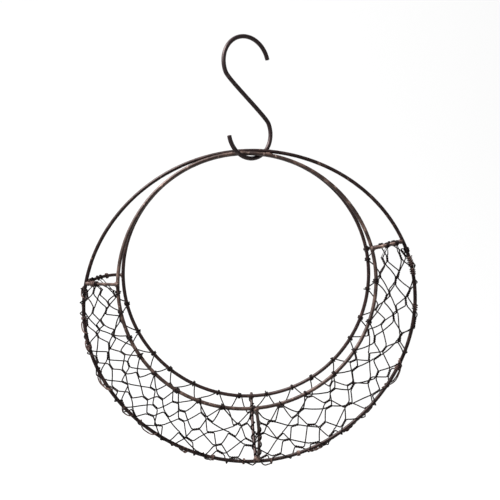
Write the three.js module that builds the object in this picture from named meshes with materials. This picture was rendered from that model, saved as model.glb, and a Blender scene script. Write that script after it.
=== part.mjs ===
// Crescent wreath frame that hangs from an S-hook: three welded wire rings, six short
// braces and a strip of hexagonal netting folded round the outer ring.
// Millimetres, +Z up, +X to the right, the hanging side faces -Y.
// The origin is the point that the hook hangs from: the underside of its top loop.

import * as THREE from 'three';

// ---- Driving dimensions ----

const WELD_GAP = 0.3;

const HOOK_WIRE_RADIUS = 2.0;
const HOOK_TURN = 36;
const TOP_LOOP = { across: 0, height: -24.8, halfWidth: 27.3, halfHeight: 26.8, tip: 15, end: 205 };
const LOW_LOOP = { across: 4.75, height: -93.65, halfWidth: 25.7, halfHeight: 25.6, start: 25, tip: -169 };
const STEM_HANDLE = 8;

const RING_ROD_RADIUS = 1.7;
const RING_PLANE_Y = 2.5;
const OUTER_CENTRE = { x: 3.3, z: -266.0 };
const OUTER_RADIUS = 159.9;
const OUTER_WAVES = [
  { order: 2, size: 5.5, phase: 22 },
  { order: 3, size: 0.9, phase: 103 },
  { order: 4, size: 0.8, phase: 39 },
];

// The inner rings meet the outer ring at the top and splay apart below it.
const INNER_TOP_DROP = 2.8;
const INNER_TOP_OFFSET_Y = 2.75;
const INNER_SPLAY = 8.4;
const FRONT_RING = {
  side: -1,
  x: 0.4,
  radius: 125.8,
  waves: [{ order: 2, size: 0.8, phase: 73 }, { order: 3, size: 0.6, phase: -43 }],
};
const BACK_RING = {
  side: 1,
  x: -0.15,
  radius: 125.7,
  waves: [{ order: 2, size: 0.15, phase: 168 }, { order: 3, size: 0.4, phase: 136 }],
};

const BRACE_RADIUS = 1.6;
const BRACE_END_Y = 1.9;
const BRACE_END_INSET = 3.2;
// bow is how far the middle stands off a straight line, to the right and upwards.
const BRACES = [
  { name: 'brace_left_front', ring: FRONT_RING, outerAt: 172.4, innerAt: 182.6, past: 3.6 },
  { name: 'brace_left_back', ring: BACK_RING, outerAt: 171.5, innerAt: 179.2, past: 2.5, bow: [0, 2.4] },
  { name: 'brace_right_front', ring: FRONT_RING, outerAt: 22.7, innerAt: 13.5, past: 2.0 },
  { name: 'brace_right_back', ring: BACK_RING, outerAt: 22.9, innerAt: 13.3, past: 3.4 },
  { name: 'brace_centre_front', ring: FRONT_RING, outerAt: 273.3, innerAt: 274.3, past: 2.6, bow: [1.6, 0] },
  { name: 'brace_centre_back', ring: BACK_RING, outerAt: 272.3, innerAt: 272.5, past: 5.0, bow: [-0.8, 0] },
];

// The netting is a strip of long zigzag wires. Twist lines are numbered across the strip
// from the front ring to the back ring, and the fold over the outer ring is midway.
const NET_WIRE_SIDE = 0.9;
const NET_LINES = 9;
const NET_START = 178.0;
const NET_END = 377.0;
const NET_CELLS = 15;
const NET_CROWDING = 0.3;
const NET_TWIST_SHARE = 0.22;
const NET_PAIR_SPACING = 0.85;
const NET_STANDOFF = RING_ROD_RADIUS + WELD_GAP + NET_WIRE_SIDE * Math.SQRT1_2 + 0.1;
const NET_BULGE = 1.6;
const NET_FOLD_BULGE = 1.7;
const NET_CENTRE_Z = -252;
const NET_LEVEL_WANDER = 0.12;
const NET_TURN_WANDER = 1.1;
const NET_LEAN = 0.15;
const FOLD = NET_LINES / 2;
const FOLD_DRIFT = 0.3;
const BRACE_LIFT = { angle: 273.3, height: 3.7, full: 6, none: 12 };

const RUST_BROWN = 0x3a2723;
const HOOK_BROWN = 0x33241f;
const NET_BROWN = 0x1f1a18;

// ---- Helpers ----

function radians(degrees) {
  return THREE.MathUtils.degToRad(degrees);
}

function steelMaterial(color, roughness) {
  return new THREE.MeshStandardMaterial({ color, roughness, metalness: 0.7 });
}

function wavyRadius(radius, waves, angle) {
  let total = radius;
  for (const wave of waves) {
    total += wave.size * Math.cos(wave.order * angle - radians(wave.phase));
  }
  return total;
}

function roundSection(radius, sides) {
  const corners = [];
  for (let side = 0; side < sides; side += 1) {
    const angle = (2 * Math.PI * side) / sides;
    corners.push(new THREE.Vector2(radius * Math.cos(angle), radius * Math.sin(angle)));
  }
  return new THREE.Shape(corners);
}

function rodAlong(path, radius, steps, sides = 8) {
  const options = { extrudePath: path, steps, bevelEnabled: false, curveSegments: 1 };
  return new THREE.ExtrudeGeometry(roundSection(radius, sides), options);
}

function smoothFall(value, full, none) {
  return 1 - THREE.MathUtils.smoothstep(value, full, none);
}

// ---- Rings ----

function outerPoint(angle) {
  const radius = wavyRadius(OUTER_RADIUS, OUTER_WAVES, angle);
  const x = OUTER_CENTRE.x + radius * Math.cos(angle);
  return new THREE.Vector3(x, RING_PLANE_Y, OUTER_CENTRE.z + radius * Math.sin(angle));
}

const TOP_ANGLE = Math.PI / 2;
const INNER_TOP_Z = outerPoint(TOP_ANGLE).z - INNER_TOP_DROP;

// Carries a point of an inner ring's own plane, with down measured from its top, to the frame.
function splayedPoint(ring, x, down) {
  const y = RING_PLANE_Y + ring.side * (INNER_TOP_OFFSET_Y + down * Math.sin(radians(INNER_SPLAY)));
  return new THREE.Vector3(x, y, INNER_TOP_Z - down * Math.cos(radians(INNER_SPLAY)));
}

function innerPoint(ring, angle) {
  const radius = wavyRadius(ring.radius, ring.waves, angle);
  const topRadius = wavyRadius(ring.radius, ring.waves, TOP_ANGLE);
  return splayedPoint(ring, ring.x + radius * Math.cos(angle), topRadius - radius * Math.sin(angle));
}

// A torus whose mean radius follows the wavy outline, still lying in its own plane.
function wavyTorus(radius, waves) {
  const geometry = new THREE.TorusGeometry(radius, RING_ROD_RADIUS, 8, 96);
  const position = geometry.attributes.position;
  for (let index = 0; index < position.count; index += 1) {
    const angle = Math.atan2(position.getY(index), position.getX(index));
    const outward = Math.hypot(position.getX(index), position.getY(index)) - radius;
    const length = wavyRadius(radius, waves, angle) + outward;
    position.setX(index, length * Math.cos(angle));
    position.setY(index, length * Math.sin(angle));
  }
  return geometry;
}

function outerRing() {
  const geometry = wavyTorus(OUTER_RADIUS, OUTER_WAVES);
  geometry.rotateX(Math.PI / 2);
  geometry.translate(OUTER_CENTRE.x, RING_PLANE_Y, OUTER_CENTRE.z);
  return geometry;
}

function innerRing(ring) {
  const geometry = wavyTorus(ring.radius, ring.waves);
  const topRadius = wavyRadius(ring.radius, ring.waves, TOP_ANGLE);
  geometry.rotateX(Math.PI / 2);
  geometry.translate(ring.x, 0, -topRadius);
  geometry.rotateX(ring.side * radians(INNER_SPLAY));
  geometry.translate(0, RING_PLANE_Y + ring.side * INNER_TOP_OFFSET_Y, INNER_TOP_Z);
  return geometry;
}

// ---- Hook ----

function loopPoints(loop, fromDegrees, toDegrees, count) {
  const clockwise = toDegrees < fromDegrees;
  const arc = new THREE.EllipseCurve(
    loop.across, loop.height, loop.halfWidth, loop.halfHeight,
    radians(fromDegrees), radians(toDegrees), clockwise,
  );
  return arc.getPoints(count);
}

function loopHeading(loop, degrees, turn) {
  const angle = radians(degrees);
  const across = -turn * loop.halfWidth * Math.sin(angle);
  return new THREE.Vector2(across, turn * loop.halfHeight * Math.cos(angle)).setLength(STEM_HANDLE);
}

function hookOutline() {
  const top = loopPoints(TOP_LOOP, TOP_LOOP.tip, TOP_LOOP.end, 22);
  const low = loopPoints(LOW_LOOP, LOW_LOOP.start, LOW_LOOP.tip, 22);
  const leave = top[top.length - 1].clone().add(loopHeading(TOP_LOOP, TOP_LOOP.end, 1));
  const arrive = low[0].clone().sub(loopHeading(LOW_LOOP, LOW_LOOP.start, -1));
  const stem = new THREE.CubicBezierCurve(top[top.length - 1], leave, arrive, low[0]).getPoints(8);
  return [...top, ...stem.slice(1, -1), ...low];
}

function hook() {
  const turn = radians(HOOK_TURN);
  const points = [];
  for (const point of hookOutline()) {
    points.push(new THREE.Vector3(point.x * Math.cos(turn), point.x * Math.sin(turn), point.y));
  }
  return rodAlong(new THREE.CatmullRomCurve3(points), HOOK_WIRE_RADIUS, 72);
}

// ---- Braces ----

// Each brace is butted against the outer ring and laid over the outer face of an inner ring.
function brace(spec) {
  const centre = new THREE.Vector3(OUTER_CENTRE.x, RING_PLANE_Y, OUTER_CENTRE.z);
  const start = outerPoint(radians(spec.outerAt));
  const inward = centre.clone().sub(start).setLength(BRACE_END_INSET);
  start.add(inward);
  start.y += spec.ring.side * BRACE_END_Y;
  const cross = innerPoint(spec.ring, radians(spec.innerAt));
  const along = cross.clone().sub(start).normalize();
  const facing = new THREE.Vector3(0, spec.ring.side, 0);
  facing.addScaledVector(along, -facing.dot(along)).normalize();
  const lap = RING_ROD_RADIUS + BRACE_RADIUS + WELD_GAP;
  const end = cross.clone().addScaledVector(facing, lap);
  end.add(end.clone().sub(start).setLength(spec.past));
  const [right, up] = spec.bow ?? [0, 0];
  const middle = start.clone().lerp(end, 0.5).add(new THREE.Vector3(2 * right, 0, 2 * up));
  return rodAlong(new THREE.QuadraticBezierCurve3(start, middle, end), BRACE_RADIUS, spec.bow ? 6 : 1);
}

// ---- Netting ----

// Angles round the strip are taken about one point between the ring centres, so that a line
// across the strip runs square to the rings.
function ringAngle(stripAngle, centreZ, radius) {
  return stripAngle + Math.asin(((NET_CENTRE_Z - centreZ) * Math.cos(stripAngle)) / radius);
}

function stripRings(angle, ring) {
  const outer = outerPoint(ringAngle(angle, OUTER_CENTRE.z, OUTER_RADIUS));
  const innerCentreZ = INNER_TOP_Z - ring.radius * Math.cos(radians(INNER_SPLAY));
  const inner = innerPoint(ring, ringAngle(angle, innerCentreZ, ring.radius));
  return { outer, inner };
}

// The netting isn't folded along one line: its lines wander across the outer ring.
function driftedLine(angle, line) {
  const drift = FOLD_DRIFT * (Math.sin(3.1 * angle + 0.8) + 0.6 * Math.sin(7.3 * angle + 2));
  return line + drift * (1 - Math.abs(line - FOLD) / FOLD);
}

// A point of the netting surface: line 0 lies on the front ring, NET_LINES on the back ring.
function netPoint(angle, line) {
  const ring = line < FOLD ? FRONT_RING : BACK_RING;
  const share = Math.abs(line - FOLD) / FOLD;
  const { outer, inner } = stripRings(angle, ring);
  const radial = new THREE.Vector3(Math.cos(angle), 0, Math.sin(angle));
  const depth = Math.abs(inner.y - outer.y);
  const drop = outer.clone().sub(inner).dot(radial);
  const face = radial.clone().multiplyScalar(depth);
  face.y += ring.side * drop;
  face.normalize();
  const facing = radial.clone().lerp(face, THREE.MathUtils.smoothstep(share, 0, 0.3)).normalize();
  const offBrace = Math.abs(THREE.MathUtils.radToDeg(angle) - BRACE_LIFT.angle);
  const lift = BRACE_LIFT.height * share * share * smoothFall(offBrace, BRACE_LIFT.full, BRACE_LIFT.none);
  const bulge = NET_BULGE * Math.sin(Math.PI * share) + NET_FOLD_BULGE * smoothFall(share, 0, 0.4);
  const standoff = NET_STANDOFF + bulge + lift;
  return outer.lerp(inner, share).addScaledVector(facing, standoff);
}

// Slow, repeatable unevenness of hand-stretched netting: how far a twist is moved and leans.
function wander(line, half) {
  const turn = NET_TURN_WANDER * Math.sin(2.1 * half + 1.7 * line);
  if (line === 0 || line === NET_LINES) {
    return { turn, level: 0, lean: 0 };
  }
  const level = NET_LEVEL_WANDER * Math.sin(3.3 * half - 2.3 * line);
  return { turn, level, lean: NET_LEAN * Math.sin(1.3 * half + 4.1 * line) };
}

// The strip angle of a place counted in cells. The cells are crowded on the left in front.
function cellAngle(cell, line) {
  const share = cell / NET_CELLS;
  const crowding = NET_CROWDING * (1 - line / NET_LINES);
  return NET_START + (NET_END - NET_START) * (share - crowding * share * (1 - share));
}

// A wire's corners, one after another along the strip, with equal parameter steps between them.
class ZigzagPath extends THREE.Curve {
  constructor(corners) {
    super();
    this.corners = corners;
  }

  getPoint(t, target = new THREE.Vector3()) {
    const place = t * (this.corners.length - 1);
    const index = Math.min(Math.floor(place), this.corners.length - 2);
    return target.lerpVectors(this.corners[index], this.corners[index + 1], place - index);
  }

  getUtoTmapping(u) {
    return u;
  }
}

// A wire's place on the netting surface, on its own side of the twist it shares with its twin.
function besideTwin(angle, line, pairSide) {
  const here = netPoint(angle, line);
  const across = netPoint(angle, line + pairSide * 0.1).sub(here);
  return here.add(across.setLength(NET_PAIR_SPACING));
}

// Wire number w runs between twist lines w and w + 1 and is paired with a neighbour on each.
// A wire that crosses the fold has one more corner there, to clear the outer ring.
function zigzagCorners(wire) {
  const corners = [netPoint(radians(NET_START), wire + 0.5)];
  let before = { angle: radians(NET_START), line: wire + 0.5 };
  for (let half = 0; half < 2 * NET_CELLS; half += 1) {
    const shared = wire + ((half + wire) % 2);
    const cell = half / 2 + 0.25;
    const { turn, level, lean } = wander(shared, half);
    const pairSide = shared === wire ? 1 : -1;
    for (const end of [-1, 1]) {
      const angle = radians(cellAngle(cell + (end * NET_TWIST_SHARE) / 2, shared) + turn);
      const line = driftedLine(angle, shared + level + end * lean);
      if ((before.line - FOLD) * (line - FOLD) < 0) {
        const share = (FOLD - before.line) / (line - before.line);
        const crossing = THREE.MathUtils.lerp(before.angle, angle, share);
        corners.push(end < 0 ? netPoint(crossing, FOLD) : besideTwin(crossing, FOLD, pairSide));
      }
      corners.push(besideTwin(angle, line, pairSide));
      before = { angle, line };
    }
  }
  corners.push(netPoint(radians(NET_END), wire + 0.5));
  return corners;
}

function netWire(wire) {
  const corners = zigzagCorners(wire);
  const path = new ZigzagPath(corners);
  return rodAlong(path, NET_WIRE_SIDE * Math.SQRT1_2, corners.length - 1, 4);
}

// ---- Assembly ----

const frame = new THREE.Group();

function addPart(name, geometry, material) {
  const mesh = new THREE.Mesh(geometry, material);
  mesh.name = name;
  frame.add(mesh);
}

const rustySteel = steelMaterial(RUST_BROWN, 0.6);
const hookSteel = steelMaterial(HOOK_BROWN, 0.55);
const netSteel = steelMaterial(NET_BROWN, 0.65);

addPart('s_hook', hook(), hookSteel);
addPart('outer_ring', outerRing(), rustySteel);
addPart('inner_ring_front', innerRing(FRONT_RING), rustySteel);
addPart('inner_ring_back', innerRing(BACK_RING), rustySteel);
for (const spec of BRACES) {
  addPart(spec.name, brace(spec), rustySteel);
}
for (let wire = 0; wire < NET_LINES; wire += 1) {
  addPart(`net_wire_${wire + 1}`, netWire(wire), netSteel);
}

export default frame;
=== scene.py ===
"""Looks of the crescent wreath frame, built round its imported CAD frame.

Lengths in the geometry sections are millimetres in the CAD frame, as in the part's source, and
become metres only where a mesh is made.
"""

import math
import random

import bpy
import numpy as np
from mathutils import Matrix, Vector, noise


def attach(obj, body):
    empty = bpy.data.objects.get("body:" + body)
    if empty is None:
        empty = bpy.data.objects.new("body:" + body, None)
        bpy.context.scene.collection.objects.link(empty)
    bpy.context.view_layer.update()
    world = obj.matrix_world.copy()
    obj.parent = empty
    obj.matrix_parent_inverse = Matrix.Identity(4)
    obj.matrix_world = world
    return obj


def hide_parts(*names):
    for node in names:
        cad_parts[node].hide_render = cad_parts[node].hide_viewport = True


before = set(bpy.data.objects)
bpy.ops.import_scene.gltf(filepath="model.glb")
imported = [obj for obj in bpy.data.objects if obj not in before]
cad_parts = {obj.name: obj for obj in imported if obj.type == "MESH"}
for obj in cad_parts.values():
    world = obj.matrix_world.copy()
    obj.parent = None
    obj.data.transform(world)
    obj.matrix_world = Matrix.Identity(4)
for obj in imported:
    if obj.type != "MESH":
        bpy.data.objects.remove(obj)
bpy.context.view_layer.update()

MM = 0.001

# ---- Driving dimensions, the same as the CAD frame's ----

HOOK_WIRE_RADIUS = 2.0
HOOK_TURN = math.radians(36)
TOP_LOOP = dict(across=0.0, height=-24.8, half_width=27.3, half_height=26.8, start=15, end=205)
LOW_LOOP = dict(across=4.75, height=-93.65, half_width=25.7, half_height=25.6, start=25, end=-169)
STEM_HANDLE = 8.0

ROD_RADIUS = 1.7
RING_PLANE_Y = 2.5
OUTER_CENTRE = (3.3, -266.0)
OUTER_RADIUS = 159.9
OUTER_WAVES = ((2, 5.5, 22), (3, 0.9, 103), (4, 0.8, 39))
INNER_TOP_DROP = 2.8
INNER_TOP_OFFSET_Y = 2.75
INNER_SPLAY = math.radians(8.4)
FRONT = dict(name="front", side=-1, x=0.4, radius=125.8, waves=((2, 0.8, 73), (3, 0.6, -43)))
BACK = dict(name="back", side=1, x=-0.15, radius=125.7, waves=((2, 0.15, 168), (3, 0.4, 136)))

BRACE_RADIUS = 1.6
BRACE_END_Y = 1.9
BRACE_END_INSET = 3.2
WELD_GAP = 0.3
BRACES = (
    dict(name="left_front", ring=FRONT, outer=172.4, inner=182.6, past=3.6, bow=(0.0, 0.0)),
    dict(name="left_back", ring=BACK, outer=171.5, inner=179.2, past=2.5, bow=(0.0, 2.4)),
    dict(name="right_front", ring=FRONT, outer=22.7, inner=13.5, past=2.0, bow=(0.0, 0.0), bare=True),
    dict(name="right_back", ring=BACK, outer=22.9, inner=13.3, past=3.4, bow=(0.0, 0.0)),
    dict(name="centre_front", ring=FRONT, outer=273.3, inner=274.3, past=2.6, bow=(1.6, 0.0)),
    dict(name="centre_back", ring=BACK, outer=272.3, inner=272.5, past=5.0, bow=(-0.8, 0.0)),
)

NET_LINES = 9
NET_START = 178.0
NET_END = 377.0
NET_CELLS = 15
NET_CROWDING = 0.3
NET_TWIST_SHARE = 0.22
NET_CENTRE_Z = -252.0
NET_TURN_WANDER = 1.1
NET_LEVEL_WANDER = 0.12
BRACE_LIFT = dict(angle=273.3, height=3.7, full=6.0, none=12.0)

# ---- Dimensions of the finer visual surface ----

NET_WIRE_RADIUS = 0.66
NET_BULGE = 1.6
NET_HUG = ROD_RADIUS + NET_WIRE_RADIUS + 0.03
NET_LEAN = 0.15
FOLD_DRIFT = 0.3
DENT = 1.4
TWIST_TURNS = 2.0
WRAP_PITCH = 1.15
BEND = 0.08
RUST_SKIN = 0.13
HOOK_SKIN = 1.5 * RUST_SKIN
HOOK_SEED = 21.0


# ---- Small maths ----

def smoothstep(value, low, high):
    t = min(max((value - low) / (high - low), 0.0), 1.0)
    return t * t * (3 - 2 * t)


def unit(vector):
    return vector / np.linalg.norm(vector)


def wavy_radius(radius, waves, angle):
    return radius + sum(size * math.cos(order * angle - math.radians(phase)) for order, size, phase in waves)


def outer_point(angle):
    radius = wavy_radius(OUTER_RADIUS, OUTER_WAVES, angle)
    x = OUTER_CENTRE[0] + radius * math.cos(angle)
    return np.array([x, RING_PLANE_Y, OUTER_CENTRE[1] + radius * math.sin(angle)])


TOP_ANGLE = math.pi / 2
INNER_TOP_Z = outer_point(TOP_ANGLE)[2] - INNER_TOP_DROP


def inner_point(ring, angle):
    radius = wavy_radius(ring["radius"], ring["waves"], angle)
    down = wavy_radius(ring["radius"], ring["waves"], TOP_ANGLE) - radius * math.sin(angle)
    y = RING_PLANE_Y + ring["side"] * (INNER_TOP_OFFSET_Y + down * math.sin(INNER_SPLAY))
    return np.array([ring["x"] + radius * math.cos(angle), y, INNER_TOP_Z - down * math.cos(INNER_SPLAY)])


def ring_angle(strip_angle, centre_z, radius):
    return strip_angle + math.asin((NET_CENTRE_Z - centre_z) * math.cos(strip_angle) / radius)


def strip_outer(angle):
    return outer_point(ring_angle(angle, OUTER_CENTRE[1], OUTER_RADIUS))


def strip_inner(ring, angle):
    centre_z = INNER_TOP_Z - ring["radius"] * math.cos(INNER_SPLAY)
    return inner_point(ring, ring_angle(angle, centre_z, ring["radius"]))


# ---- Swept rods and wires ----

def resample_frames(points, closed):
    """Tangents and two cross directions along a polyline, carried without twisting."""
    ahead = np.roll(points, -1, axis=0) - points
    if closed:
        tangents = ahead + np.roll(ahead, 1, axis=0)
    else:
        ahead[-1] = ahead[-2]
        behind = np.vstack([ahead[:1], ahead[:-1]])
        tangents = ahead / np.linalg.norm(ahead, axis=1, keepdims=True)
        tangents = tangents + behind / np.linalg.norm(behind, axis=1, keepdims=True)
    tangents /= np.linalg.norm(tangents, axis=1, keepdims=True)
    start = np.array([0.0, 1.0, 0.0])
    if abs(tangents[0] @ start) > 0.9:
        start = np.array([0.0, 0.0, 1.0])
    sides = np.empty_like(points)
    side = unit(start - tangents[0] * (start @ tangents[0]))
    for index, tangent in enumerate(tangents):
        side = unit(side - tangent * (side @ tangent))
        sides[index] = side
    return tangents, sides, np.cross(tangents, sides)


def closing_twist(tangents, sides, ups):
    """The angle that a closed sweep's section has turned by on its way round."""
    last = unit(sides[-1] - tangents[0] * (sides[-1] @ tangents[0]))
    return math.atan2(last @ ups[0], last @ sides[0])


def sweep(points, radii, sides, rough, grain, seed, closed=False):
    """Vertices and faces of a round bar along points, in millimetres, with a lumpy rusted skin."""
    points = np.asarray(points, float)
    count = len(points)
    radii = np.broadcast_to(np.asarray(radii, float), (count,))
    tangents, across, up = resample_frames(points, closed)
    twist = closing_twist(tangents, across, up) if closed else 0.0
    vertices = []
    for index in range(count):
        turn = -twist * index / count
        for corner in range(sides):
            angle = turn + 2 * math.pi * corner / sides
            outward = across[index] * math.cos(angle) + up[index] * math.sin(angle)
            place = points[index] + outward * radii[index]
            lump = noise.noise(Vector(place * grain) + Vector((seed, 0, 0)))
            fine = noise.noise(Vector(place * grain * 3.7) + Vector((0, seed, 0)))
            vertices.append(place + outward * rough * (lump + 0.5 * fine))
    faces = []
    rows = count if closed else count - 1
    for row in range(rows):
        here = row * sides
        there = ((row + 1) % count) * sides
        for corner in range(sides):
            nxt = (corner + 1) % sides
            faces.append((here + corner, here + nxt, there + nxt, there + corner))
    if not closed:
        faces.append(tuple(reversed(range(sides))))
        faces.append(tuple(range((count - 1) * sides, count * sides)))
    return vertices, faces


def round_ends(points, radii, roundness, steps=4):
    """Adds shrinking rings past both ends of an open bar, so that its cut ends are worn round."""
    points = np.asarray(points, float)
    radii = np.broadcast_to(np.asarray(radii, float), (len(points),)).astype(float)
    head = unit(points[0] - points[1])
    tail = unit(points[-1] - points[-2])
    angles = [math.pi / 2 * (step + 1) / (steps + 0.6) for step in range(steps)]
    first = [points[0] + head * radii[0] * roundness * math.sin(a) for a in angles]
    last = [points[-1] + tail * radii[-1] * roundness * math.sin(a) for a in angles]
    first_radii = [radii[0] * math.cos(a) for a in angles]
    last_radii = [radii[-1] * math.cos(a) for a in angles]
    points = np.vstack([first[::-1], points, last])
    return points, np.concatenate([first_radii[::-1], radii, last_radii])


def catmull(points, step):
    """A smooth curve through points, sampled about every step millimetres."""
    points = np.asarray(points, float)
    count = len(points)
    out = []
    for index in range(count - 1):
        p0, p1, p2, p3 = (points[min(max(index + k, 0), count - 1)] for k in (-1, 0, 1, 2))
        parts = max(1, int(round(np.linalg.norm(p2 - p1) / step)))
        for part in range(parts):
            t = part / parts
            bend = (2 * p0 - 5 * p1 + 4 * p2 - p3) * t * t + (3 * p1 - p0 - 3 * p2 + p3) * t ** 3
            out.append(0.5 * (2 * p1 + (p2 - p0) * t + bend))
    out.append(points[-1])
    return np.array(out)


def make_piece(name, parts, materials, body, replaced=()):
    """One Blender object from (vertices, faces, material index) parts given in millimetres."""
    vertices = []
    faces = []
    indices = []
    for part_vertices, part_faces, material in parts:
        base = len(vertices)
        vertices.extend(Vector(v) * MM for v in part_vertices)
        faces.extend(tuple(base + corner for corner in face) for face in part_faces)
        indices.extend([material] * len(part_faces))
    mesh = bpy.data.meshes.new(name)
    mesh.from_pydata(vertices, [], faces)
    mesh.polygons.foreach_set("use_smooth", [True] * len(faces))
    mesh.polygons.foreach_set("material_index", indices)
    for material in materials:
        mesh.materials.append(material)
    mesh.validate()
    mesh.update()
    piece = bpy.data.objects.new(name, mesh)
    bpy.context.scene.collection.objects.link(piece)
    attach(piece, body)
    if replaced:
        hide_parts(*replaced)
    return piece


# ---- Materials ----

WORN_EDGE = 0.12
WARM_SHEEN = (0.95, 0.74, 0.70, 1)


def node_material(name):
    material = bpy.data.materials.new(name)
    material.use_nodes = True
    nodes = material.node_tree.nodes
    links = material.node_tree.links
    nodes.clear()
    shader = nodes.new("ShaderNodeBsdfPrincipled")
    output = nodes.new("ShaderNodeOutputMaterial")
    links.new(shader.outputs["BSDF"], output.inputs["Surface"])
    position = nodes.new("ShaderNodeTexCoord")
    return material, nodes, links, shader, position


def noise_node(nodes, links, position, scale, detail, roughness):
    texture = nodes.new("ShaderNodeTexNoise")
    texture.inputs["Scale"].default_value = scale
    texture.inputs["Detail"].default_value = detail
    texture.inputs["Roughness"].default_value = roughness
    links.new(position.outputs["Object"], texture.inputs["Vector"])
    return texture


def ramp_node(nodes, links, source, stops):
    ramp = nodes.new("ShaderNodeValToRGB")
    ramp.color_ramp.elements[0].position = stops[0][0]
    ramp.color_ramp.elements[0].color = (*stops[0][1], 1)
    ramp.color_ramp.elements[1].position = stops[-1][0]
    ramp.color_ramp.elements[1].color = (*stops[-1][1], 1)
    for place, colour in stops[1:-1]:
        ramp.color_ramp.elements.new(place).color = (*colour, 1)
    links.new(source, ramp.inputs["Fac"])
    return ramp


def rusty_steel(name, base, worn, worn_from, rough, bump, gloss):
    """Dark oxide skin with rust clouds, worn tan patches and a pitted surface.

    base is the ramp of the skin's colours, and worn the colour of the patches. The patches begin
    where their noise passes worn_from. rough is a range, and bump the pits' depth in metres.
    """
    material, nodes, links, shader, position = node_material(name)
    clouds = noise_node(nodes, links, position, 90, 6, 0.62)
    skin = ramp_node(nodes, links, clouds.outputs["Fac"], base)
    patches = noise_node(nodes, links, position, 160, 5, 0.7)
    edge = ((worn_from, (0, 0, 0)), (worn_from + WORN_EDGE, (1, 1, 1)))
    mask = ramp_node(nodes, links, patches.outputs["Fac"], edge)
    mix = nodes.new("ShaderNodeMix")
    mix.data_type = "RGBA"
    links.new(mask.outputs["Color"], mix.inputs["Factor"])
    links.new(skin.outputs["Color"], mix.inputs["A"])
    mix.inputs["B"].default_value = (*worn, 1)
    links.new(mix.outputs["Result"], shader.inputs["Base Color"])
    grain = noise_node(nodes, links, position, 900, 3, 0.6)
    spread = nodes.new("ShaderNodeMapRange")
    spread.inputs["To Min"].default_value = rough[0]
    spread.inputs["To Max"].default_value = rough[1]
    links.new(grain.outputs["Fac"], spread.inputs["Value"])
    links.new(spread.outputs["Result"], shader.inputs["Roughness"])
    pits = nodes.new("ShaderNodeBump")
    pits.inputs["Strength"].default_value = 0.5
    pits.inputs["Distance"].default_value = bump
    links.new(grain.outputs["Fac"], pits.inputs["Height"])
    links.new(pits.outputs["Normal"], shader.inputs["Normal"])
    shader.inputs["Specular IOR Level"].default_value = gloss
    shader.inputs["Specular Tint"].default_value = WARM_SHEEN
    return material


ring_material = rusty_steel(
    "ring_rust",
    base=((0.34, (0.003, 0.001, 0.001)), (0.54, (0.009, 0.004, 0.004)), (0.74, (0.034, 0.018, 0.015))),
    worn=(0.120, 0.074, 0.058), worn_from=0.63, rough=(0.36, 0.58), bump=0.00014, gloss=0.26,
)
outer_ring_material = rusty_steel(
    "outer_ring_rust",
    base=((0.34, (0.002, 0.001, 0.001)), (0.52, (0.006, 0.003, 0.003)), (0.72, (0.026, 0.015, 0.013))),
    worn=(0.110, 0.070, 0.056), worn_from=0.61, rough=(0.34, 0.54), bump=0.00014, gloss=0.17,
)
pale_ring_material = rusty_steel(
    "pale_ring_rust",
    base=((0.32, (0.004, 0.002, 0.002)), (0.50, (0.014, 0.008, 0.006)), (0.70, (0.058, 0.036, 0.029))),
    worn=(0.150, 0.106, 0.090), worn_from=0.58, rough=(0.36, 0.60), bump=0.00016, gloss=0.28,
)
hook_material = rusty_steel(
    "hook_oxide",
    base=((0.32, (0.003, 0.001, 0.002)), (0.55, (0.006, 0.003, 0.004)), (0.75, (0.016, 0.010, 0.011))),
    worn=(0.070, 0.050, 0.048), worn_from=0.60, rough=(0.40, 0.58), bump=0.00005, gloss=0.28,
)
net_material = rusty_steel(
    "net_wire_oxide",
    base=((0.30, (0.002, 0.001, 0.001)), (0.60, (0.006, 0.004, 0.004)), (0.80, (0.018, 0.010, 0.008))),
    worn=(0.060, 0.036, 0.026), worn_from=0.70, rough=(0.50, 0.70), bump=0.00004, gloss=0.08,
)
bare_brace_material = rusty_steel(
    "bare_brace_rust",
    base=((0.32, (0.010, 0.006, 0.005)), (0.48, (0.042, 0.026, 0.022)), (0.66, (0.120, 0.080, 0.068))),
    worn=(0.260, 0.185, 0.150), worn_from=0.54, rough=(0.40, 0.62), bump=0.00016, gloss=0.30,
)
winding_material = rusty_steel(
    "winding_wire_rust",
    base=((0.30, (0.010, 0.005, 0.005)), (0.50, (0.034, 0.020, 0.018)), (0.70, (0.095, 0.062, 0.051))),
    worn=(0.170, 0.122, 0.102), worn_from=0.58, rough=(0.46, 0.68), bump=0.00004, gloss=0.14,
)
weld_material = rusty_steel(
    "weld_bead",
    base=((0.30, (0.012, 0.007, 0.006)), (0.50, (0.045, 0.027, 0.023)), (0.75, (0.110, 0.074, 0.058))),
    worn=(0.200, 0.140, 0.105), worn_from=0.58, rough=(0.42, 0.70), bump=0.00018, gloss=0.25,
)


# ---- Rings ----

RING_STEPS = 700


def ring_centreline(point_at):
    return np.array([point_at(2 * math.pi * step / RING_STEPS) for step in range(RING_STEPS)])


def rod_radii(points, radius, seed):
    """A rod's drawn radius, which swells and thins a little along its length."""
    return [radius * (1 + 0.03 * noise.noise(Vector(p * 0.05) + Vector((seed, seed, 0)))) for p in points]


def ring_piece(name, point_at, node, seed, material):
    points = ring_centreline(point_at)
    radii = rod_radii(points, ROD_RADIUS + RUST_SKIN, seed)
    vertices, faces = sweep(points, radii, sides=14, rough=0.07, grain=0.35, seed=seed, closed=True)
    return make_piece(name, [(vertices, faces, 0)], [material], "frame", [node])


ring_piece("outer_hoop", outer_point, "outer_ring", 3.1, outer_ring_material)
ring_piece("front_hoop", lambda angle: inner_point(FRONT, angle), "inner_ring_front", 7.7, pale_ring_material)
ring_piece("back_hoop", lambda angle: inner_point(BACK, angle), "inner_ring_back", 12.9, ring_material)


# ---- Hook ----

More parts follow.
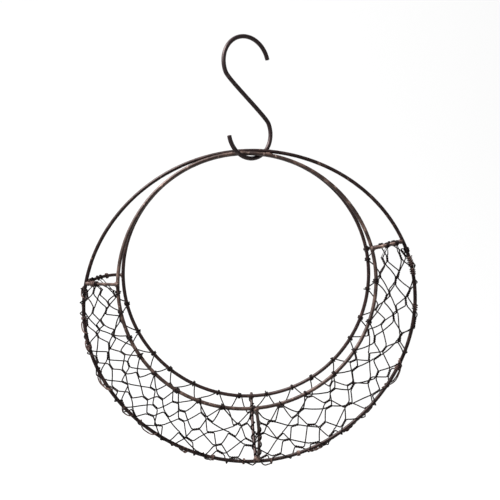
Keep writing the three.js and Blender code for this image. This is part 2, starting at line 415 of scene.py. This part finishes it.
def loop_point(loop, angle):
    across = loop["across"] + loop["half_width"] * math.cos(angle)
    return np.array([across, loop["height"] + loop["half_height"] * math.sin(angle)])


def loop_arc(loop, count):
    angles = np.radians(np.linspace(loop["start"], loop["end"], count))
    return [loop_point(loop, angle) for angle in angles]


def loop_heading(loop, degrees, turn):
    angle = math.radians(degrees)
    across = -turn * loop["half_width"] * math.sin(angle)
    return unit(np.array([across, turn * loop["half_height"] * math.cos(angle)])) * STEM_HANDLE


def hook_centreline():
    top = loop_arc(TOP_LOOP, 60)
    low = loop_arc(LOW_LOOP, 60)
    leave = top[-1] + loop_heading(TOP_LOOP, TOP_LOOP["end"], 1)
    arrive = low[0] - loop_heading(LOW_LOOP, LOW_LOOP["start"], -1)
    stem = []
    for t in np.linspace(0, 1, 22)[1:-1]:
        s = 1 - t
        stem.append(s ** 3 * top[-1] + 3 * s * s * t * leave + 3 * s * t * t * arrive + t ** 3 * low[0])
    flat = [*top, *stem, *low]
    return np.array([[a * math.cos(HOOK_TURN), a * math.sin(HOOK_TURN), z] for a, z in flat])


def hook_piece():
    points = catmull(hook_centreline(), 0.8)
    points, radii = round_ends(points, HOOK_WIRE_RADIUS + HOOK_SKIN, 0.35)
    radii = radii * np.array(rod_radii(points, 1.0, HOOK_SEED))
    vertices, faces = sweep(points, radii, sides=18, rough=0.04, grain=0.3, seed=HOOK_SEED)
    return make_piece("hook_wire", [(vertices, faces, 0)], [hook_material], "hook", ["s_hook"])


hook_piece()


# ---- Braces ----

def brace_line(spec):
    """The brace's start, the ring point that it is laid over, its lapped end and its facing."""
    start = outer_point(math.radians(spec["outer"]))
    centre = np.array([OUTER_CENTRE[0], RING_PLANE_Y, OUTER_CENTRE[1]])
    start = start + unit(centre - start) * BRACE_END_INSET
    start[1] += spec["ring"]["side"] * BRACE_END_Y
    cross = inner_point(spec["ring"], math.radians(spec["inner"]))
    along = unit(cross - start)
    facing = np.array([0.0, spec["ring"]["side"], 0.0])
    facing = unit(facing - along * (facing @ along))
    lap = cross + facing * (ROD_RADIUS + BRACE_RADIUS + WELD_GAP)
    end = lap + unit(lap - start) * spec["past"]
    return start, lap, end, facing


def brace_path(spec):
    start, lap, end, facing = brace_line(spec)
    middle = (start + end) / 2
    middle[0] += 2 * spec["bow"][0]
    middle[2] += 2 * spec["bow"][1]
    path = []
    for t in np.linspace(0, 1, 60):
        path.append((1 - t) ** 2 * start + 2 * t * (1 - t) * middle + t * t * end)
    return np.array(path)


def helix(path, radius, begin, finish, turns, phase, samples, uneven, seed):
    """A wire coiled round a path, between two shares of the path's length."""
    lengths = np.concatenate([[0], np.cumsum(np.linalg.norm(np.diff(path, axis=0), axis=1))])
    tangents, across, up = resample_frames(path, False)
    count = max(6, int(abs(turns) * samples))
    out = []
    for step in range(count + 1):
        share = begin + (finish - begin) * step / count
        place = share * lengths[-1]
        index = int(min(max(np.searchsorted(lengths, place) - 1, 0), len(path) - 2))
        t = (place - lengths[index]) / max(lengths[index + 1] - lengths[index], 1e-9)
        base = path[index] * (1 - t) + path[index + 1] * t
        angle = phase + 2 * math.pi * turns * step / count
        away = radius * (1 + uneven * noise.noise(Vector((seed, step * 0.23, 0.5))))
        slip = uneven * 1.5 * noise.noise(Vector((seed + 4.2, step * 0.17, 1.5)))
        outward = across[index] * math.cos(angle) + up[index] * math.sin(angle)
        out.append(base + outward * away + tangents[index] * slip)
    return np.array(out)


def thin_wire(points, seed):
    points, radii = round_ends(points, NET_WIRE_RADIUS, 0.3, 2)
    return sweep(points, radii, sides=7, rough=0.02, grain=1.1, seed=seed)


def brace_piece(spec, seed):
    path = brace_path(spec)
    points, radii = round_ends(path, BRACE_RADIUS, 0.5)
    radii = radii * np.array(rod_radii(points, 1.0, seed))
    vertices, faces = sweep(points, radii, sides=14, rough=0.08, grain=0.4, seed=seed)
    name = "brace_" + spec["name"]
    rust = pale_ring_material if spec["ring"] is FRONT else ring_material
    material = bare_brace_material if spec.get("bare") else rust
    return make_piece(name + "_rod", [(vertices, faces, 0)], [material], "frame", [name])


for number, brace_spec in enumerate(BRACES):
    brace_piece(brace_spec, 30.0 + 3 * number)


# ---- Netting ----

random.seed(11)
FOLD = NET_LINES / 2


def strip_turn(cell, line):
    """The strip angle in degrees of a place counted in cells, which are crowded on the left in front."""
    share = cell / NET_CELLS
    crowding = NET_CROWDING * (1 - line / NET_LINES)
    return NET_START + (NET_END - NET_START) * (share - crowding * share * (1 - share))


def net_surface(angle, line, hug=0.0):
    """A point of the netting surface and its outward direction, where line counts across the strip."""
    share = abs(line - FOLD) / FOLD
    drift = FOLD_DRIFT * (math.sin(3.1 * angle + 0.8) + 0.6 * math.sin(7.3 * angle + 2.0))
    line = line + drift * (1 - share)
    share = abs(line - FOLD) / FOLD
    ring = FRONT if line < FOLD else BACK
    outer = strip_outer(angle)
    inner = strip_inner(ring, angle)
    radial = np.array([math.cos(angle), 0.0, math.sin(angle)])
    face = radial * abs(inner[1] - outer[1])
    face[1] += ring["side"] * ((outer - inner) @ radial)
    face = unit(face)
    blend = smoothstep(share, 0.0, 0.3)
    facing = unit(radial * (1 - blend) + face * blend)
    off_brace = abs(math.degrees(angle) - BRACE_LIFT["angle"])
    near_brace = 1 - smoothstep(off_brace, BRACE_LIFT["full"], BRACE_LIFT["none"])
    lift = BRACE_LIFT["height"] * share * share * near_brace
    middle = math.sin(math.pi * min(share, 1.0))
    place = outer * (1 - share) + inner * share
    dent = DENT * middle * noise.noise(Vector((math.degrees(angle) * 0.09, line * 0.55, 3.0)))
    return place + facing * (NET_HUG + NET_BULGE * middle + dent + lift + hug), facing


def wander(line, half):
    """How far one twist is moved along and across the strip, and how far it leans."""
    turn = NET_TURN_WANDER * math.sin(2.1 * half + 1.7 * line)
    if line in (0, NET_LINES):
        return turn, 0.0, 0.0
    level = NET_LEVEL_WANDER * math.sin(3.3 * half - 2.3 * line)
    return turn, level, NET_LEAN * math.sin(1.3 * half + 4.1 * line)


def twist_stretch(wire, line, half):
    """One wire's share of a twisted pair: a helix about the twist line, its phase set by its side."""
    turn, level, lean = wander(line, half)
    steps = int(TWIST_TURNS * 10)
    side = 0.0 if line == wire else math.pi
    places = []
    points = []
    for step in range(steps + 1):
        t = step / steps
        angle = math.radians(strip_turn(half / 2 + 0.25 + (t - 0.5) * NET_TWIST_SHARE, line) + turn)
        level_here = line + level + lean * (2 * t - 1)
        here, facing = net_surface(angle, level_here)
        across = unit(net_surface(angle, level_here + 0.1)[0] - here)
        spread = 1.0 + 0.7 * abs(2 * t - 1) ** 6
        phase = side + 2 * math.pi * TWIST_TURNS * t
        offset = across * math.cos(phase) + facing * math.sin(phase)
        places.append((angle, level_here))
        points.append(here + offset * NET_WIRE_RADIUS * spread)
    return dict(points=points, start=places[0], end=places[-1])


def wrap_stretch(line, half):
    """The wire comes to an inner ring, is wound round it and leaves again."""
    ring = FRONT if line == 0 else BACK
    middle = strip_turn(half / 2 + 0.25, line) + wander(line, half)[0]
    turns = 1 + (5 * half + line) % 3
    steps = turns * 14 + 4
    width = math.degrees((turns * WRAP_PITCH + 1.2) / ring["radius"])
    points = []
    for step in range(steps + 1):
        t = step / steps
        angle = math.radians(middle + (t - 0.5) * width)
        here = strip_inner(ring, angle)
        tangent = unit(strip_inner(ring, angle + 0.01) - here)
        facing = net_surface(angle, line)[1]
        facing = unit(facing - tangent * (facing @ tangent))
        side = np.cross(tangent, facing)
        phase = -ring["side"] * 2 * math.pi * turns * smoothstep(t, 0.06, 0.94)
        loose = 0.25 * noise.noise(Vector((half, step * 0.3, line)))
        points.append(here + (facing * math.cos(phase) + side * math.sin(phase)) * (NET_HUG + abs(loose)))
    centre = math.radians(middle)
    reach = math.radians(width / 2)
    return dict(points=points, start=(centre - reach, line), end=(centre + reach, line))


def bend_share(t):
    """Goes from 0 to 1 at a steady rate, but starts and stops gently."""
    scale = 2 * BEND * (1 - BEND)
    if t < BEND:
        return t * t / scale
    if t > 1 - BEND:
        return 1 - (1 - t) ** 2 / scale
    return (t - BEND / 2) / (1 - BEND)


def diagonal(before, after, hug):
    """The free stretch of wire between two twists, over the netting surface."""
    (angle_0, line_0), (angle_1, line_1) = before["end"], after["start"]
    miss_0 = before["points"][-1] - net_surface(angle_0, line_0)[0]
    miss_1 = after["points"][0] - net_surface(angle_1, line_1)[0]
    bow = [random.uniform(-0.35, 0.35) for _ in range(3)]
    points = []
    for step in range(1, 12):
        t = step / 12
        angle = angle_0 + (angle_1 - angle_0) * t
        line = line_0 + (line_1 - line_0) * bend_share(t)
        here = net_surface(angle, line, hug * math.sin(math.pi * t))[0]
        here = here + miss_0 * (1 - smoothstep(t, 0.0, 0.6)) + miss_1 * smoothstep(t, 0.4, 1.0)
        points.append(here + np.array(bow) * math.sin(math.pi * t))
    return points


def tie_points(path, share, turns, target, radius, seed):
    """A wire end wound round a rod, which leaves it towards target. The cut end stands off."""
    lengths = np.concatenate([[0], np.cumsum(np.linalg.norm(np.diff(path, axis=0), axis=1))])
    half_width = turns * WRAP_PITCH / lengths[-1] / 2
    tangents, across, up = resample_frames(path, False)
    index = int(round(share * (len(path) - 1)))
    to_target = target - path[index]
    leave = math.atan2(to_target @ up[index], to_target @ across[index]) + math.pi / 2
    begin = min(max(share - half_width, 0.0), 1.0)
    finish = min(max(share + half_width, 0.0), 1.0)
    coil = helix(path, radius, begin, finish, turns, leave - 2 * math.pi * turns, 14, 0.12, seed)
    base = path[int(round(begin * (len(path) - 1)))]
    stub = unit(coil[0] - base) * 1.6 + unit(coil[0] - coil[2]) * 1.3
    return [coil[0] + stub, coil[0] + stub * 0.45, *coil]


LEFT_TIES = (0.30, 0.25, 0.18, 0.11, None, 0.04, 0.10, 0.24, 0.33)
RIGHT_TIES = (0.50, 0.45, 0.19, 0.14, None, 0.17, 0.28, 0.48, 0.54)
LEFT_TIE_TURNS = (1, 1, 1, 2, 0, 1, 1, 1, 1)
RIGHT_TIE_TURNS = (2, 1, 2, 3, 0, 3, 2, 1, 2)
LEFT_RING_TIE = 175.2
RIGHT_RING_TIE = 19.4


def tie_to_frame(wire, side_name, target):
    """Fixes one end of a netting wire to the brace on its face, or to the outer ring for the fold wire."""
    left = side_name == "left"
    share = (LEFT_TIES if left else RIGHT_TIES)[wire]
    if share is None:
        middle = LEFT_RING_TIE if left else RIGHT_RING_TIE
        path = np.array([outer_point(math.radians(middle + 0.2 * step)) for step in range(-15, 16)])
        return tie_points(path, 0.5, 4, target, ROD_RADIUS + NET_WIRE_RADIUS, 70.0 + wire)
    face = "front" if wire < FOLD else "back"
    spec = next(brace for brace in BRACES if brace["name"] == f"{side_name}_{face}")
    turns = (LEFT_TIE_TURNS if left else RIGHT_TIE_TURNS)[wire]
    return tie_points(brace_path(spec), share, turns, target, BRACE_RADIUS + NET_WIRE_RADIUS, 80.0 + wire)


def net_path(wire):
    stretches = []
    for half in range(2 * NET_CELLS):
        line = wire + (half + wire) % 2
        on_ring = line in (0, NET_LINES)
        stretches.append(wrap_stretch(line, half) if on_ring else twist_stretch(wire, line, half))
    points = list(tie_to_frame(wire, "left", stretches[0]["points"][0]))
    points = points + stretches[0]["points"]
    for before, after in zip(stretches, stretches[1:]):
        over_fold = wire == (NET_LINES - 1) // 2
        hug = max(0.0, random.uniform(-0.8, 2.0)) if over_fold else 0.0
        points += diagonal(before, after, hug)
        points += after["points"]
    points += list(tie_to_frame(wire, "right", points[-1]))[::-1]
    return np.array(points)


def net_piece(wire):
    vertices, faces = thin_wire(net_path(wire), 50.0 + wire)
    parts = [(vertices, faces, 0)]
    node = f"net_wire_{wire + 1}"
    return make_piece(f"netting_{wire + 1}", parts, [net_material], "frame", [node])


for net_wire in range(NET_LINES):
    net_piece(net_wire)


# ---- Windings and loops of wire on the rods ----

def outer_arc(begin, finish):
    count = max(8, int(abs(finish - begin) * 3))
    return np.array([outer_point(math.radians(a)) for a in np.linspace(begin, finish, count)])


def outer_coil(begin, finish, turns, seed):
    coil = helix(outer_arc(begin, finish), NET_HUG, 0, 1, turns, seed, 14, 0.16, seed)
    stub = unit(coil[0] - coil[2]) * 1.2
    return thin_wire(np.vstack([[coil[0] + stub], coil]), seed)


def outer_loop(begin, finish, bulge, seed):
    """A strand that leaves the outer ring's back, stands off outside it and goes in again at the front."""
    points = []
    for step in range(61):
        t = step / 60
        angle = math.radians(begin + (finish - begin) * t)
        here = outer_point(angle)
        radial = unit(np.array([here[0] - OUTER_CENTRE[0], 0.0, here[2] - OUTER_CENTRE[1]]))
        phase = 0.95 * math.pi * (1 - 2 * t) ** 3
        phase += 0.5 * noise.noise(Vector((seed, 2.5 * t, 0.0)))
        away = NET_HUG + bulge * math.sin(math.pi * t) ** 2
        points.append(here + (radial * math.cos(phase) + np.array([0, 1, 0]) * math.sin(phase)) * away)
    return thin_wire(points, seed)


def outer_pair(begin, finish, turns, seed):
    """Two strands twisted together along the outside of the outer ring."""
    strands = ([], [])
    count = int(40 * turns)
    for step in range(count + 1):
        t = step / count
        angle = math.radians(begin + (finish - begin) * t)
        here = outer_point(angle)
        radial = unit(np.array([here[0] - OUTER_CENTRE[0], 0.0, here[2] - OUTER_CENTRE[1]]))
        phase = 1.1 * math.sin(seed + 3.0 * t)
        away = radial * math.cos(phase) + np.array([0, 1, 0]) * math.sin(phase)
        across = -radial * math.sin(phase) + np.array([0, 1, 0]) * math.cos(phase)
        sink = 1.6 * (1 - smoothstep(min(t, 1 - t), 0.0, 0.12))
        centre = here + away * (ROD_RADIUS + 1.9 * NET_WIRE_RADIUS - sink)
        twist = 2 * math.pi * turns * t + seed
        offset = (away * math.cos(twist) + across * math.sin(twist)) * NET_WIRE_RADIUS
        strands[0].append(centre + offset)
        strands[1].append(centre - offset)
    return [thin_wire(strand, seed) for strand in strands]


def cut_end(ring, degrees, lean, length, seed):
    """The clipped end of a tie, standing off an inner ring towards the middle of the wreath."""
    angle = math.radians(degrees)
    here = strip_inner(ring, angle)
    ahead = unit(strip_inner(ring, angle + 0.01) - here)
    inward = np.array([-math.cos(angle), 0.0, -math.sin(angle)])
    inward = unit(inward - ahead * (inward @ ahead))
    face = np.cross(ahead, inward)
    face = face * (-1 if face[1] > 0 else 1)
    points = [here + face * NET_HUG - ahead * 1.4]
    points.append(here + (face * 0.75 + inward * 0.66) * NET_HUG)
    points.append(here + inward * (NET_HUG + 0.5 * length) + ahead * lean * 0.5 * length)
    points.append(here + inward * (NET_HUG + length) + ahead * lean * length)
    return thin_wire(catmull(np.array(points), 0.4), seed)


OUTER_COILS = (
    (16.8, 13.4, 5), (12.6, 10.6, 3), (0.4, -1.8, 3), (-22.0, -23.6, 3), (184.0, 184.8, 2), (194.0, 195.4, 3),
    (256.2, 257.0, 2), (267.5, 268.3, 2), (287.8, 288.9, 3),
)
OUTER_LOOPS = (
    (202.6, 211.4, 2.0), (204.0, 211.8, 0.9), (217.5, 223.6, 1.5), (226.6, 234.6, 1.4), (273.4, 278.8, 2.4),
    (328.0, 339.6, 2.4), (329.6, 340.4, 1.1), (172.4, 178.0, 0.7), (184.6, 190.0, 0.7), (252.6, 257.0, 0.7),
)
OUTER_PAIRS = ((292.0, 304.5, 3.0), (306.5, 320.5, 3.5), (242.0, 247.0, 1.5), (192.0, 196.0, 1.0))


def outer_windings():
    parts = []
    for number, (begin, finish, turns) in enumerate(OUTER_COILS):
        parts.append((*outer_coil(begin, finish, turns, 90.0 + number), 0))
    for number, (begin, finish, bulge) in enumerate(OUTER_LOOPS):
        parts.append((*outer_loop(begin, finish, bulge, 120.0 + number), 0))
    for number, (begin, finish, turns) in enumerate(OUTER_PAIRS):
        for vertices, faces in outer_pair(begin, finish, turns, 200.0 + number):
            parts.append((vertices, faces, 0))
    make_piece("outer_ring_windings", parts, [winding_material], "frame")


def tie_ends():
    parts = []
    for line, ring in ((0, FRONT), (NET_LINES, BACK)):
        for cell in range(NET_CELLS):
            half = 2 * cell + line % 2
            chance = noise.noise(Vector((0.71 * cell, 1.3 * line, 0.4)))
            if chance < -0.12:
                continue
            degrees = strip_turn(half / 2 + 0.25, line) + wander(line, half)[0] - 0.6
            lean = 1.2 * noise.noise(Vector((0.53 * cell, 2.1, line)))
            parts.append((*cut_end(ring, degrees, lean, 0.7 + 2.2 * abs(chance), 220.0 + half), 0))
    make_piece("tie_ends", parts, [net_material], "frame")


outer_windings()
tie_ends()

BRACE_WRAPS = (
    dict(brace="centre_front", begin=0.03, finish=0.64, turns=4.0, phase=0.4),
    dict(brace="centre_back", begin=0.03, finish=0.92, turns=6.0, phase=2.4),
    dict(brace="left_back", begin=0.48, finish=0.53, turns=2.0, phase=1.0, pale=True),
    dict(brace="left_back", begin=0.93, finish=0.98, turns=2.0, phase=2.0),
    dict(brace="right_back", begin=0.88, finish=0.98, turns=4.0, phase=2.0),
    dict(brace="left_front", begin=0.08, finish=0.24, turns=4.0, phase=0.0, pale=True),
)


def brace_wraps():
    parts = []
    for number, wrap in enumerate(BRACE_WRAPS):
        spec = next(brace for brace in BRACES if brace["name"] == wrap["brace"])
        radius = BRACE_RADIUS + NET_WIRE_RADIUS
        begin, finish = wrap["begin"], wrap["finish"]
        turns, phase = wrap["turns"], wrap["phase"]
        coil = helix(brace_path(spec), radius, begin, finish, turns, phase, 18, 0.12, number)
        parts.append((*thin_wire(coil, 140.0 + number), 1 if wrap.get("pale") else 0))
    make_piece("brace_windings", parts, [net_material, winding_material], "frame")


brace_wraps()


# ---- Welds ----

def bead(centre, along, length, width, seed):
    """A lump of weld metal, longer along one direction, with a rough rippled skin."""
    along = unit(np.asarray(along, float))
    helper = np.array([0.0, 1.0, 0.0]) if abs(along[1]) < 0.8 else np.array([1.0, 0.0, 0.0])
    side = unit(np.cross(along, helper))
    up = np.cross(side, along)
    rings = 12
    corners = 16
    vertices = []
    for ring in range(1, rings):
        polar = math.pi * ring / rings
        for corner in range(corners):
            turn = 2 * math.pi * corner / corners
            direction = side * math.sin(polar) * math.cos(turn) + up * math.sin(polar) * math.sin(turn)
            place = direction * width + along * length * math.cos(polar)
            lump = 1 + 0.28 * noise.noise(Vector(place * 0.7) + Vector((seed, 0, 0)))
            lump += 0.10 * noise.noise(Vector(place * 2.3) + Vector((0, seed, 0)))
            vertices.append(centre + place * lump)
    vertices.append(centre + along * length * 0.96)
    vertices.append(centre - along * length * 0.96)
    first, last = len(vertices) - 2, len(vertices) - 1
    faces = []
    for ring in range(rings - 2):
        for corner in range(corners):
            nxt = (corner + 1) % corners
            here, there = ring * corners, (ring + 1) * corners
            faces.append((here + corner, here + nxt, there + nxt, there + corner))
    for corner in range(corners):
        nxt = (corner + 1) % corners
        faces.append((first, nxt, corner))
        base = (rings - 2) * corners
        faces.append((last, base + corner, base + nxt))
    return vertices, faces


TOP_WELDS = (81.0, 98.0)


def weld_beads():
    parts = []
    for number, spec in enumerate(BRACES):
        start, lap, end, facing = brace_line(spec)
        ring_place = outer_point(math.radians(spec["outer"]))
        along = unit(ring_place - start)
        across = np.cross(facing, unit(end - start))
        parts.append((*bead(start + along * 1.1, along, 2.9, 2.2, 160.0 + number), 0))
        parts.append((*bead(lap - facing * 1.4, across, 2.7, 2.1, 170.0 + number), 0))
    for number, degrees in enumerate(TOP_WELDS):
        angle = math.radians(degrees)
        place = (inner_point(FRONT, angle) + inner_point(BACK, angle) + outer_point(angle)) / 3
        along = inner_point(BACK, angle + 0.02) - inner_point(BACK, angle)
        parts.append((*bead(place, along, 4.5, 1.9, 180.0 + number), 0))
    make_piece("weld_beads", parts, [weld_material], "frame")


weld_beads()


# ---- Stage, lights and camera ----

CAMERA_DISTANCE = 900.0
VIEW_CENTRE = (3.8, -210.9)
SENSOR = 36.0
IMAGE_WIDTH = 500.0
WORLD_STRENGTH = 0.38
PAPER_GLOW = 0.74


def stage_piece():
    """A pale floor that sweeps up into a far wall behind the object."""
    floor_z = -0.62
    front, back, turn = -2.2, 1.5, 0.9
    profile = [(front, floor_z), (back - turn, floor_z)]
    for step in range(1, 13):
        angle = math.pi / 2 * step / 12
        profile.append((back - turn + turn * math.sin(angle), floor_z + turn * (1 - math.cos(angle))))
    profile.append((back, 2.6))
    vertices = []
    for y, z in profile:
        vertices.extend([(-3.0, y, z), (3.0, y, z)])
    faces = [(2 * i, 2 * i + 1, 2 * i + 3, 2 * i + 2) for i in range(len(profile) - 1)]
    mesh = bpy.data.meshes.new("studio_sweep")
    mesh.from_pydata(vertices, [], faces)
    mesh.polygons.foreach_set("use_smooth", [True] * len(faces))
    piece = bpy.data.objects.new("studio_sweep", mesh)
    bpy.context.scene.collection.objects.link(piece)
    material, _, _, shader, _ = node_material("studio_paper")
    shader.inputs["Base Color"].default_value = (0.12, 0.12, 0.12, 1)
    shader.inputs["Roughness"].default_value = 0.9
    shader.inputs["Emission Color"].default_value = (1, 1, 1, 1)
    shader.inputs["Emission Strength"].default_value = PAPER_GLOW
    mesh.materials.append(material)


def area_light(name, place, aim, size, power):
    light = bpy.data.lights.new(name, "AREA")
    light.shape = "SQUARE"
    light.size = size
    light.energy = power
    lamp = bpy.data.objects.new(name, light)
    lamp.location = place
    lamp.rotation_euler = (Vector(aim) - Vector(place)).to_track_quat("-Z", "Y").to_euler()
    bpy.context.scene.collection.objects.link(lamp)


def studio():
    world = bpy.data.worlds.new("studio_world")
    world.use_nodes = True
    background = world.node_tree.nodes["Background"]
    background.inputs["Color"].default_value = (1, 1, 1, 1)
    background.inputs["Strength"].default_value = WORLD_STRENGTH
    bpy.context.scene.world = world
    aim = (0, 0, -0.2)
    area_light("key", (-0.80, -0.42, 0.85), aim, 0.5, 110)
    area_light("fill", (1.2, -1.2, 0.3), aim, 0.9, 5)
    bpy.context.scene.view_settings.view_transform = "Standard"


def camera():
    data = bpy.data.cameras.new("camera")
    data.sensor_width = SENSOR
    data.lens = SENSOR * CAMERA_DISTANCE / IMAGE_WIDTH
    eye = bpy.data.objects.new("camera", data)
    eye.location = Vector((VIEW_CENTRE[0], RING_PLANE_Y - CAMERA_DISTANCE, VIEW_CENTRE[1])) * MM
    eye.rotation_euler = (math.pi / 2, 0, 0)
    bpy.context.scene.collection.objects.link(eye)
    bpy.context.scene.camera = eye


stage_piece()
studio()
camera()
